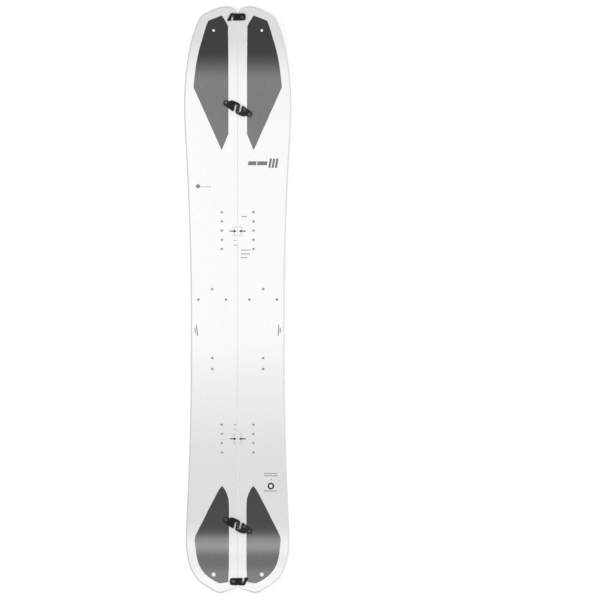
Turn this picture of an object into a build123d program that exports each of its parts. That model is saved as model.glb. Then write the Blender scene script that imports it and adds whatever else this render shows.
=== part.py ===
from build123d import *
import math
import os

# A splitboard: a snowboard made as two mirror-image skis that meet on the
# centre line, held together by a swinging hook at each tip and a pair of
# interlocking hook plates inboard of each tip.
# Millimetres. +Y runs to the nose, +X to the right-hand half, +Z is up off
# the snow. The origin is the centre of the footprint.

os.makedirs("parts", exist_ok=True)

# ---------------------------------------------------------------- dimensions
LENGTH = 1620.0            # tip to tail, in plan
SEAM_GAP = 0.4             # between the two inner steel edges
BASE_T = 1.6               # running base and steel edge
LAM_T = 0.6                # each glass laminate
TOP_T = 0.6                # topsheet
EDGE_W = 2.2               # steel edge, seen from below
WALL_W = 6.0               # sidewall strip
TOP_INSET = 3.6            # topsheet stops short of the outline for the bevel
SEAM_INSET = 1.0           # ... and by this much along the seam
THICK_MID = 10.0           # at mid board
THICK_CONTACT = 6.2        # at the contact points
THICK_TIP = 5.5            # in nose and tail
CAMBER = 6.0
NOSE_CONTACT_Y = 593.0
TAIL_CONTACT_Y = -651.0
NOSE_R, NOSE_DEG = 220.0, 20.0
TAIL_R, TAIL_DEG = 265.0, 15.0
NOSE_SPACER_Y = 640.0      # core ends, tip spacer begins
TAIL_SPACER_Y = -690.0

# half-width outline, from the seam notch at the nose round to the seam notch
# at the tail: (x from the centre line, y)
OUTLINE = [
    (4.0, 799.6), (12.6, 805.6), (33.0, 810.0), (57.0, 805.4), (82.0, 794.6),
    (100.6, 783.6), (110.6, 768.0), (120.0, 743.6), (129.8, 711.0),
    (139.0, 661.5), (145.4, 606.3), (148.2, 551.0), (144.8, 440.6),
    (138.6, 330.2), (134.2, 219.8), (131.2, 109.3), (129.7, -1.1),
    (129.3, -111.5), (129.7, -222.0), (131.4, -332.4), (134.6, -442.8),
    (139.0, -553.3), (143.2, -650.0), (141.0, -700.0), (133.6, -733.0),
    (119.5, -762.6), (101.5, -782.3), (79.5, -796.3), (50.0, -810.0 + 0.0),
    (19.0, -801.6), (5.0, -795.0),
]
NOSE_SEAM_Y, TAIL_SEAM_Y = 787.0, -783.0

# threaded inserts (x on the right-hand half, mirrored on the left)
INSERT_BORE_R, INSERT_R, INSERT_FLANGE_R, INSERT_FLANGE_T = 2.5, 4.2, 8.0, 1.2
RIDE_X = 43.6
RIDE_PITCH = 25.4
RIDE_FRONT_Y = [190.5 + RIDE_PITCH * k for k in (-2, -1, 0, 1, 2)]
RIDE_REAR_Y = [-383.5 + RIDE_PITCH * k for k in (-1.5, -0.5, 0.5, 1.5)]
TOUR_PIVOT = [(32.3, 0.0), (108.3, 0.0)]
TOUR_FRONT = [(70.3, 29.0)]
RISER = [(70.3, -161.5), (70.3, -191.5)]

# through holes in the tips
TIP_HOLE_X, TIP_HOLE_Y, TIP_HOLE_R = 66.6, 743.0, 3.5
TAIL_HOLE_X, TAIL_HOLE_Y, TAIL_HOLE_R = 66.6, -759.0, 5.5

# hardware
HOOK_T = 3.0               # tip hook plate
WASHER_T = 0.8
HOOK_LIFT = 0.9            # underside of a swinging plate above the topsheet
PIVOT_X = 11.9             # tip hook pivot from the centre line
HOOK_R = 10.0              # half the width of the tip hook
NOSE_HOOK_Y, TAIL_HOOK_Y = 781.0, -779.0
POST_U, POST_V, POST_R = -24.6, 3.4, 2.3
PLATE_T = 4.0              # interlocking plates
CLIP_PIVOT = (-32.3, 16.0)
CATCH_SCREW_2 = (-18.0, 3.6)
NOSE_CLIP_Y, TAIL_CLIP_Y = 527.5, -623.7
TRAVEL_PER_RAD = 9.0       # the halves part this far for each radian of hook

# ------------------------------------------------------------- side profile
HALF = (NOSE_CONTACT_Y - TAIL_CONTACT_Y) / 2
MID_Y = (NOSE_CONTACT_Y + TAIL_CONTACT_Y) / 2


def rad(d):
    return math.radians(d)


def arc_of(sag):
    r = (HALF**2 + sag**2) / (2 * sag)
    return r, math.asin(HALF / r)


R_BOT, A_BOT = arc_of(CAMBER)
TOP_SAG = CAMBER + THICK_MID - THICK_CONTACT
R_TOP, A_TOP = arc_of(TOP_SAG)
Z0 = max(NOSE_R, TAIL_R) * (1 - math.cos(A_BOT))


def end_arc(sign, start_y, start_z, a0, r, deg):
    """Centre of a tip bend that leaves the camber at slope -a0 and the end point."""
    c = (start_y + sign * r * math.sin(a0), start_z + r * math.cos(a0))
    e = (c[0] + sign * r * math.sin(rad(deg)), c[1] - r * math.cos(rad(deg)))
    return c, e


def top_radius(sign, start_y, bottom_r, deg):
    """Radius of the top bend whose straight runs THICK_TIP above the bottom one."""
    _, e = end_arc(sign, start_y, 0.0, A_BOT, bottom_r, deg)
    n = (-sign * math.sin(rad(deg)), math.cos(rad(deg)))
    here = n[0] * start_y + n[1] * THICK_CONTACT
    there = n[0] * e[0] + n[1] * e[1]
    return (here - there - THICK_TIP) / (1 - math.cos(rad(deg) + A_TOP))


NOSE_RT = top_radius(1, NOSE_CONTACT_Y, NOSE_R, NOSE_DEG)
TAIL_RT = top_radius(-1, TAIL_CONTACT_Y, TAIL_R, TAIL_DEG)


def chain(top, off):
    """The profile's bottom or top curve, moved up by off: (points, mids)."""
    if top:
        rc, a0, z, rn, rt = R_TOP, A_TOP, THICK_CONTACT, NOSE_RT, TAIL_RT
    else:
        rc, a0, z, rn, rt = R_BOT, A_BOT, 0.0, NOSE_R, TAIL_R
    cc = (MID_Y, z - rc * math.cos(a0))
    cn, _ = end_arc(1, NOSE_CONTACT_Y, z, a0, rn, NOSE_DEG)
    ct, _ = end_arc(-1, TAIL_CONTACT_Y, z, a0, rt, TAIL_DEG)
    rc, rn, rt = rc + off, rn - off, rt - off

    def on(c, r, ang):  # ang from straight down, towards +Y
        return (c[0] + r * math.sin(ang), c[1] - r * math.cos(ang) + Z0)

    def over(ang):
        return (cc[0] + rc * math.sin(ang), cc[1] + rc * math.cos(ang) + Z0)

    n1, n2 = on(cn, rn, rad(NOSE_DEG)), over(a0)
    t1, t2 = on(ct, rt, -rad(TAIL_DEG)), over(-a0)
    far = 200.0
    nose_end = (n1[0] + far * math.cos(rad(NOSE_DEG)), n1[1] + far * math.sin(rad(NOSE_DEG)))
    tail_end = (t1[0] - far * math.cos(rad(TAIL_DEG)), t1[1] + far * math.sin(rad(TAIL_DEG)))
    mids = (
        on(ct, rt, (-rad(TAIL_DEG) + a0) / 2),
        over(0.0),
        on(cn, rn, (rad(NOSE_DEG) - a0) / 2),
    )
    return [tail_end, t1, t2, n2, n1, nose_end], mids


def curve_edges(top, off):
    p, m = chain(top, off)

    def v(q):
        return Vector(0, q[0], q[1])

    return [
        Line(v(p[0]), v(p[1])),
        ThreePointArc(v(p[1]), v(m[0]), v(p[2])),
        ThreePointArc(v(p[2]), v(m[1]), v(p[3])),
        ThreePointArc(v(p[3]), v(m[2]), v(p[4])),
        Line(v(p[4]), v(p[5])),
    ], v(p[0]), v(p[5])


def slab(low, high):
    """Everything between two profile curves, each (top?, offset), right-hand side."""
    a, a0, a1 = curve_edges(*low)
    b, b0, b1 = curve_edges(*high)
    wire = Wire([*a, Line(a1, b1), *b, Line(b0, a0)])
    return extrude(Face(wire), amount=170, dir=(1, 0, 0))


def top_at(y):
    """Height and slope angle of the finished top surface at y."""
    p, _ = chain(True, 0.0)
    if y >= p[4][0]:
        return p[4][1] + (y - p[4][0]) * math.tan(rad(NOSE_DEG)), rad(NOSE_DEG)
    if y <= p[1][0]:
        return p[1][1] + (p[1][0] - y) * math.tan(rad(TAIL_DEG)), -rad(TAIL_DEG)
    if p[2][0] <= y <= p[3][0]:
        c = (MID_Y, THICK_CONTACT - R_TOP * math.cos(A_TOP) + Z0)
        a = math.asin((y - MID_Y) / R_TOP)
        return c[1] + R_TOP * math.cos(a), -a
    if y > p[3][0]:
        c, _ = end_arc(1, NOSE_CONTACT_Y, THICK_CONTACT, A_TOP, NOSE_RT, NOSE_DEG)
        a = math.asin((y - c[0]) / NOSE_RT)
        return c[1] - NOSE_RT * math.cos(a) + Z0, a
    c, _ = end_arc(-1, TAIL_CONTACT_Y, THICK_CONTACT, A_TOP, TAIL_RT, TAIL_DEG)
    a = math.asin((y - c[0]) / TAIL_RT)
    return c[1] - TAIL_RT * math.cos(a) + Z0, a


def bottom_core_at(y):
    """Height of the core's underside within the camber."""
    r = R_BOT + BASE_T + LAM_T
    return -R_BOT * math.cos(A_BOT) + Z0 + math.sqrt(r * r - (y - MID_Y) ** 2)


def on_top(x, y):
    """Plane lying on the top surface at (x, y)."""
    z, a = top_at(y)
    return Plane(
        origin=(x, y, z), x_dir=(1, 0, 0), z_dir=(0, -math.sin(a), math.cos(a))
    )


# -------------------------------------------------------------- plan outline
SEAM_X = SEAM_GAP / 2
OUT_EDGE = Spline(
    [Vector(SEAM_X, NOSE_SEAM_Y, 0)]
    + [Vector(x, y, 0) for x, y in OUTLINE]
    + [Vector(SEAM_X, TAIL_SEAM_Y, 0)],
    tangents=[Vector(0, 1, 0), Vector(0, 1, 0)],
    tangent_scalars=[0.7, 0.7],
)


def prism(inset, seam_inset=None):
    """The right-hand half's plan outline, inset, as a tall solid."""
    if seam_inset is None:
        seam_inset = inset
    if inset == 0:
        edge, lo, hi = OUT_EDGE, (SEAM_X, TAIL_SEAM_Y), (SEAM_X, NOSE_SEAM_Y)
    else:
        pts, length = [], OUT_EDGE.length
        near = [0, 0.0015, 0.003, 0.005, 0.0075, 0.011, 0.016, 0.022, 0.03, 0.038, 0.046,
                0.052, 0.057, 0.062, 0.067, 0.072, 0.08, 0.09, 0.105, 0.125, 0.15, 0.175]
        steps = near + [0.2 + 0.06 * k for k in range(11)] + [1 - t for t in reversed(near)]
        for t in steps:
            p, d = OUT_EDGE @ t, OUT_EDGE % t
            s = min(t, 1 - t) * length
            w = min(1.0, s / 60.0)
            w = w * w * (3 - 2 * w)
            k = seam_inset + (inset - seam_inset) * w
            pts.append(Vector(p.X + d.Y * k, p.Y - d.X * k, 0))
        edge = Spline(pts)
        lo, hi = (pts[-1].X, pts[-1].Y), (pts[0].X, pts[0].Y)
    seam = Line(Vector(lo[0], lo[1], 0), Vector(hi[0], hi[1], 0))
    face = Face(Wire([edge, seam]))
    solid = extrude(face, amount=120, dir=(0, 0, 1))
    return Pos(0, 0, -20) * solid


def box(x0, x1, y0, y1, z0=-30, z1=130):
    return Pos((x0 + x1) / 2, (y0 + y1) / 2, (z0 + z1) / 2) * Box(x1 - x0, y1 - y0, z1 - z0)


P_OUT = prism(0)
P_EDGE = prism(EDGE_W)
P_WALL = prism(WALL_W)
P_TOP = prism(TOP_INSET, SEAM_INSET)

B0, B1, B2 = (False, 0.0), (False, BASE_T), (False, BASE_T + LAM_T)
T0, T1, T2 = (True, 0.0), (True, -TOP_T), (True, -TOP_T - LAM_T)

S_BASE = slab(B0, B1)
S_CORE = slab(B2, T2)
MID = box(-10, 170, TAIL_SPACER_Y, NOSE_SPACER_Y)
RING = (P_OUT - P_WALL) & S_CORE & MID

layers = {
    "base_sheet": S_BASE & P_EDGE,
    "steel_edge": S_BASE & (P_OUT - P_EDGE),
    "lower_laminate": slab(B1, B2) & P_OUT,
    "wood_core": S_CORE & P_WALL & MID,
    "outer_sidewall": RING & box(60, 170, -700, 700),
    "inner_sidewall": RING & box(-10, 60, -700, 700),
    "nose_spacer": S_CORE & P_OUT & box(-10, 170, NOSE_SPACER_Y, 840),
    "tail_spacer": S_CORE & P_OUT & box(-10, 170, -840, TAIL_SPACER_Y),
    "upper_laminate": slab(T2, T1) & P_TOP,
    "topsheet": slab(T1, T0) & P_TOP,
}


# ------------------------------------------------------------------ inserts
def cyl(r, z0, z1, x=0.0, y=0.0):
    return Pos(x, y, (z0 + z1) / 2) * Cylinder(r, z1 - z0)


def insert_at(x, y, z_top, z_low):
    """A flanged threaded insert and the pocket it sits in, upright."""
    body = cyl(INSERT_R, z_low, z_top, x, y) + cyl(
        INSERT_FLANGE_R, z_low, z_low + INSERT_FLANGE_T, x, y
    )
    body -= cyl(INSERT_BORE_R, z_low - 1, z_top + 1, x, y)
    pocket = cyl(INSERT_R, z_low, z_top + 20, x, y) + cyl(
        INSERT_FLANGE_R, z_low - 1.5, z_low + INSERT_FLANGE_T, x, y
    )
    return body, pocket, cyl(INSERT_R, z_low, z_top + 20, x, y)


def insert_group(places):
    """Inserts whose tops are all at one level."""
    z_top = min(top_at(y)[0] - 0.02 for _, y in places) - 0.12
    z_low = max(bottom_core_at(y + d) for _, y in places for d in (-9, 9)) + 0.03
    return [insert_at(x, y, z_top, z_low) for x, y in places]


ride, tour = [], []
ride += insert_group([(RIDE_X, y) for y in RIDE_FRONT_Y[0:2]])
ride += insert_group([(RIDE_X, y) for y in RIDE_FRONT_Y[2:3]])
ride += insert_group([(RIDE_X, y) for y in RIDE_FRONT_Y[3:5]])
ride += insert_group([(RIDE_X, y) for y in RIDE_REAR_Y[0:2]])
ride += insert_group([(RIDE_X, y) for y in RIDE_REAR_Y[2:4]])
tour += insert_group(TOUR_PIVOT)
tour += insert_group(TOUR_FRONT)
tour += insert_group(RISER)

LATCH_R, LATCH_BORE_R = 3.5, 2.0


def latch_insert(plane):
    """A blind threaded insert set square to the top surface."""
    depth = 3.2
    body = plane * (cyl(LATCH_R, -depth, -0.05) - cyl(LATCH_BORE_R, -depth + 0.5, 1))
    pocket = plane * cyl(LATCH_R, -depth, 5)
    return body, pocket


# ------------------------------------------------------------ hardware parts
def plate_from(points, t):
    return extrude(Face(Wire(Polyline(*[Vector(x, y, 0) for x, y in points], close=True).edges())), amount=t, dir=(0, 0, 1))


def soften(part, z, size=0.5):
    """Chamfer every edge that lies in the plane z."""
    edges = [e for e in part.edges() if all(abs(v.Z - z) < 1e-6 for v in e.vertices()) and abs((e @ 0.5).Z - z) < 1e-6]
    try:
        out = chamfer(edges, size)
        return out if out.is_valid else part
    except Exception:
        return part


def pivot_screw(plate_t, r_shoulder, head_r=4.6):
    """Shoulder screw: the plate turns on the shoulder, under the head."""
    top = HOOK_LIFT + plate_t + 0.15
    s = cyl(r_shoulder, WASHER_T + 0.02, top)
    s += cyl(head_r, top, top + 1.8)
    s += cyl(LATCH_BORE_R - 0.03, -2.5, WASHER_T + 0.02)
    s = soften(s, top + 1.8, 0.6)
    s -= Pos(0, 0, top + 1.8) * extrude(RegularPolygon(1.9, 6), amount=-1.2)
    return s


def washer(r_out, r_in):
    return cyl(r_out, 0.02, WASHER_T) - cyl(r_in, -1, 2)


def post_path(n=14, until=0.62):
    """Where the catch post lies in the hook's own frame as the hook opens."""
    out = []
    for i in range(n + 1):
        a = until * i / n
        x, y = POST_U - TRAVEL_PER_RAD * a, POST_V
        out.append((x * math.cos(a) - y * math.sin(a), x * math.sin(a) + y * math.cos(a)))
    return out


def rounded(points, times=2):
    """The closed outline with its corners cut, over and over."""
    for _ in range(times):
        out = []
        for (x0, y0), (x1, y1) in zip(points, points[1:] + points[:1]):
            out += [(x0 * 0.75 + x1 * 0.25, y0 * 0.75 + y1 * 0.25), (x0 * 0.25 + x1 * 0.75, y0 * 0.25 + y1 * 0.75)]
        points = out
    return points


def slot_outline(r):
    """The curved slot that lets the catch post out of the hook's mouth."""
    path = post_path()
    left, right = [], []
    for i, (x, y) in enumerate(path):
        x0, y0 = path[max(i - 1, 0)]
        x1, y1 = path[min(i + 1, len(path) - 1)]
        d = math.hypot(x1 - x0, y1 - y0)
        nx, ny = -(y1 - y0) / d, (x1 - x0) / d
        left.append((x + nx * r, y + ny * r))
        right.append((x - nx * r, y - ny * r))
    a0 = math.atan2(left[0][1] - path[0][1], left[0][0] - path[0][0])
    cap = [(path[0][0] + r * math.cos(a0 + math.pi * k / 9), path[0][1] + r * math.sin(a0 + math.pi * k / 9)) for k in range(1, 9)]
    return list(reversed(left)) + cap + right


def tip_hook():
    """Swinging hook plate, pivot at the origin, arm towards -x, mouth towards -y."""
    arm = [
        (9.0, 4.5), (9.0, 9.0), (1.0, 10.2), (-12.0, 9.9), (-24.0, 10.6), (-30.6, 10.6), (-33.2, 5.6),
        (-37.2, -2.2), (-41.4, -9.6), (-38.6, -11.8), (-33.0, -10.8), (-26.0, -10.4),
        (-18.0, -9.9), (-2.0, -10.1), (9.0, -9.0), (9.0, -4.5),
    ]
    body = plate_from(rounded(arm), HOOK_T) + cyl(HOOK_R, 0, HOOK_T)
    body -= Pos(0, 0, -1) * plate_from(slot_outline(POST_R + 0.35), HOOK_T + 2)
    body = body.solids().sort_by(SortBy.VOLUME)[-1]
    body = soften(body, HOOK_T, 0.45)
    body -= cyl(3.05, -1, HOOK_T + 1)
    # shallow thumb ramp across the arm
    body -= Pos(-13.5, 0.0, HOOK_T) * Box(7.0, 9.0, 1.0)
    return Pos(0, 0, HOOK_LIFT) * body


def catch_post():
    top = HOOK_LIFT + HOOK_T + 0.3
    s = cyl(POST_R, -0.0 + 0.02, top) + cyl(3.3, top, top + 1.4)
    s += cyl(4.6, 0.02, HOOK_LIFT - 0.25)
    s += cyl(LATCH_BORE_R - 0.03, -2.5, 0.02)
    s = soften(s, top + 1.4, 0.5)
    s -= Pos(0, 0, top + 1.4) * extrude(RegularPolygon(1.4, 6), amount=-0.9)
    return s


def interlock_outline():
    """Left-hand plate about the clip centre: lobe, web and a finger past the seam."""
    return [
        (-38.9, 10.2), (-39.6, 16.0), (-37.8, 21.2), (-33.0, 23.2), (-27.5, 21.4), (-23.5, 19.9),
        (-18.5, 22.2), (-12.5, 21.8), (-3.0, 17.8), (5.2, 13.4), (6.6, 10.4), (5.6, 4.0),
        (4.3, -3.0), (3.4, -8.0), (1.6, -9.0), (-0.2, -8.0), (-0.35, -5.0), (0.3, 0.0), (1.2, 8.0), (0.4, 10.0),
        (-5.4, 10.4), (-8.2, 9.2), (-9.4, 2.0), (-11.2, -5.6), (-13.6, -8.0), (-16.2, -6.4), (-28.6, 3.2),
    ]


def interlock(pivoting):
    body = plate_from(rounded(interlock_outline()), PLATE_T)
    body = soften(body, PLATE_T, 0.5)
    if pivoting:
        body -= cyl(3.05, -1, PLATE_T + 1, *CLIP_PIVOT)
    else:
        # countersunk for two screws, the second in the web
        for x, y in (CLIP_PIVOT, CATCH_SCREW_2):
            body -= cyl(2.1, -1, PLATE_T + 1, x, y)
            body -= cyl(3.9, PLATE_T - 2.0, PLATE_T + 1, x, y)
    return Pos(0, 0, HOOK_LIFT) * body



def catch_screw():
    z = HOOK_LIFT + PLATE_T
    s = cyl(3.8, z - 2.0 + 0.01, z - 0.1) + cyl(LATCH_BORE_R - 0.03, -2.5, z - 2.0 + 0.01)
    s -= Pos(0, 0, z - 0.1) * extrude(RegularPolygon(1.6, 6), amount=-1.1)
    return s


def catch_shim():
    """Thin plastic pad that carries the fixed plate at the swinging one's height."""
    pts = [
        (-37.4, 11.4), (-38.0, 16.0), (-36.6, 20.2), (-32.8, 21.6), (-27.0, 19.6), (-23.0, 18.6),
        (-17.0, 19.8), (-9.8, 17.6), (-9.8, 9.0), (-11.2, 2.0), (-13.4, -5.0), (-27.6, 4.6),
    ]
    s = plate_from(rounded(pts), HOOK_LIFT - 0.03)
    for x, y in (CLIP_PIVOT, CATCH_SCREW_2):
        s -= cyl(2.1, -1, HOOK_LIFT + 1, x, y)
    return Pos(0, 0, 0.02) * s


half_turn = Rot(0, 0, 180)

nodes = {}
cuts = {"left": [], "right": []}
latch = {"left": [], "right": []}


def add_latch(side, plane):
    body, pocket = latch_insert(plane)
    latch[side].append(body)
    cuts[side].append(pocket)


# nose hook: pivots on the right-hand half, reaches over to the left
pl = on_top(PIVOT_X, NOSE_HOOK_Y)
nodes["nose_hook"] = pl * tip_hook()
nodes["nose_hook_pivot_screw"] = pl * pivot_screw(HOOK_T, 3.0)
nodes["nose_hook_washer"] = pl * washer(8.5, 2.1)
add_latch("right", pl)
post = pl * Pos(POST_U, POST_V, 0)
nodes["nose_hook_catch_post"] = post * catch_post()
add_latch("left", post)

# tail hook: the same part turned half round, pivoting on the left-hand half
pl = on_top(-PIVOT_X, TAIL_HOOK_Y)
nodes["tail_hook"] = pl * half_turn * tip_hook()
nodes["tail_hook_pivot_screw"] = pl * half_turn * pivot_screw(HOOK_T, 3.0)
nodes["tail_hook_washer"] = pl * washer(8.5, 2.1)
add_latch("left", pl)
post = pl * half_turn * Pos(POST_U, POST_V, 0)
nodes["tail_hook_catch_post"] = post * catch_post()
add_latch("right", post)

for name, y in (("nose_clip", NOSE_CLIP_Y), ("tail_clip", TAIL_CLIP_Y)):
    pl = on_top(0, y)
    nodes[name + "_hook"] = pl * interlock(True)
    nodes[name + "_pivot_screw"] = pl * Pos(*CLIP_PIVOT, 0) * pivot_screw(PLATE_T, 3.0)
    nodes[name + "_washer"] = pl * Pos(*CLIP_PIVOT, 0) * washer(6.0, 2.1)
    add_latch("left", pl * Pos(*CLIP_PIVOT, 0))
    nodes[name + "_catch"] = pl * half_turn * interlock(False)
    nodes[name + "_catch_shim"] = pl * half_turn * catch_shim()
    screws = []
    for x, y2 in (CLIP_PIVOT, CATCH_SCREW_2):
        screws.append(pl * half_turn * Pos(x, y2, 0) * catch_screw())
        add_latch("right", pl * half_turn * Pos(x, y2, 0))
    nodes[name + "_catch_screws"] = Compound(children=[s.solid() if hasattr(s, "solid") else s for s in screws])


# ----------------------------------------------------------------- assemble
def flip(obj):
    return mirror(obj, about=Plane.YZ)


NOSE_HOLE = cyl(TIP_HOLE_R, -20, 140, TIP_HOLE_X, TIP_HOLE_Y)
TAIL_HOLE = cyl(TAIL_HOLE_R, -20, 140, TAIL_HOLE_X, TAIL_HOLE_Y)
POCKETS = [p for _, p, _ in ride + tour]
BARRELS = [b for _, _, b in ride + tour]

for side in ("right", "left"):
    for name, raw in layers.items():
        piece = raw if side == "right" else flip(raw)
        tools = []
        if name not in ("wood_core", "outer_sidewall", "inner_sidewall"):
            holes = [NOSE_HOLE, TAIL_HOLE]
            tools += holes if side == "right" else [flip(h) for h in holes]
        if name == "wood_core":
            tools += POCKETS if side == "right" else [flip(p) for p in POCKETS]
        if name in ("upper_laminate", "topsheet"):
            tools += BARRELS if side == "right" else [flip(b) for b in BARRELS]
        if name in ("wood_core", "nose_spacer", "tail_spacer", "upper_laminate", "topsheet"):
            tools += cuts[side]
        box_p = piece.bounding_box()
        used = []
        for t in tools:
            b = t.bounding_box()
            if b.max.Y < box_p.min.Y or b.min.Y > box_p.max.Y:
                continue
            used.append(t)
        if used:
            piece = piece - used
        nodes[f"{side}_{name}"] = piece
    for label, group in (("ride_inserts", ride), ("tour_inserts", tour)):
        bodies = [b if side == "right" else flip(b) for b, _, _ in group]
        nodes[f"{side}_{label}"] = Compound(children=[b.solid() for b in bodies])
    nodes[f"{side}_latch_inserts"] = Compound(children=[b.solid() for b in latch[side]])

for name, shape in nodes.items():
    export_step(shape, f"parts/{name}.step")
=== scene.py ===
import math
import bpy
import bmesh
import numpy as np
from mathutils import Vector, Matrix


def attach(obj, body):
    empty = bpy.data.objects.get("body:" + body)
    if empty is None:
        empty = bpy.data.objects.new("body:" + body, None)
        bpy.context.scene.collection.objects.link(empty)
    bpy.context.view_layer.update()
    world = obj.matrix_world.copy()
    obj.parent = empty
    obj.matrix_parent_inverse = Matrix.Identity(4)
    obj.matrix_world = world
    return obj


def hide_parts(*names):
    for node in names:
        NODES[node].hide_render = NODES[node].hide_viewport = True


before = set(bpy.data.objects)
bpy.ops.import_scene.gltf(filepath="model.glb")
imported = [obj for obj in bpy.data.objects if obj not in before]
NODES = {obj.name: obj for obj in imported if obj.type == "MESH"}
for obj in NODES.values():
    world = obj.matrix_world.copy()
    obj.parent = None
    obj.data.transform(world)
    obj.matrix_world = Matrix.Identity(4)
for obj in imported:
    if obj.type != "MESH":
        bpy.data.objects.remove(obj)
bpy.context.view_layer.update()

MM = 0.001
rng = np.random.default_rng(7)

# ------------------------------------------------------------------ the board's own numbers, millimetres
EDGE_W, WALL_W, TOP_INSET, SEAM_INSET = 2.2, 6.0, 3.6, 1.0
BASE_T, LAM_T, TOP_T = 1.6, 0.6, 0.6
THICK_MID, THICK_CONTACT, THICK_TIP, CAMBER = 10.0, 6.2, 5.5, 6.0
NOSE_CY, TAIL_CY = 593.0, -651.0
NOSE_R, NOSE_A, TAIL_R, TAIL_A = 220.0, math.radians(20), 265.0, math.radians(15)
HALF, MID_Y = (NOSE_CY - TAIL_CY) / 2, (NOSE_CY + TAIL_CY) / 2
SEAM_X, SEAM_Y0, SEAM_Y1 = 0.2, -783.0, 787.0

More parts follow.
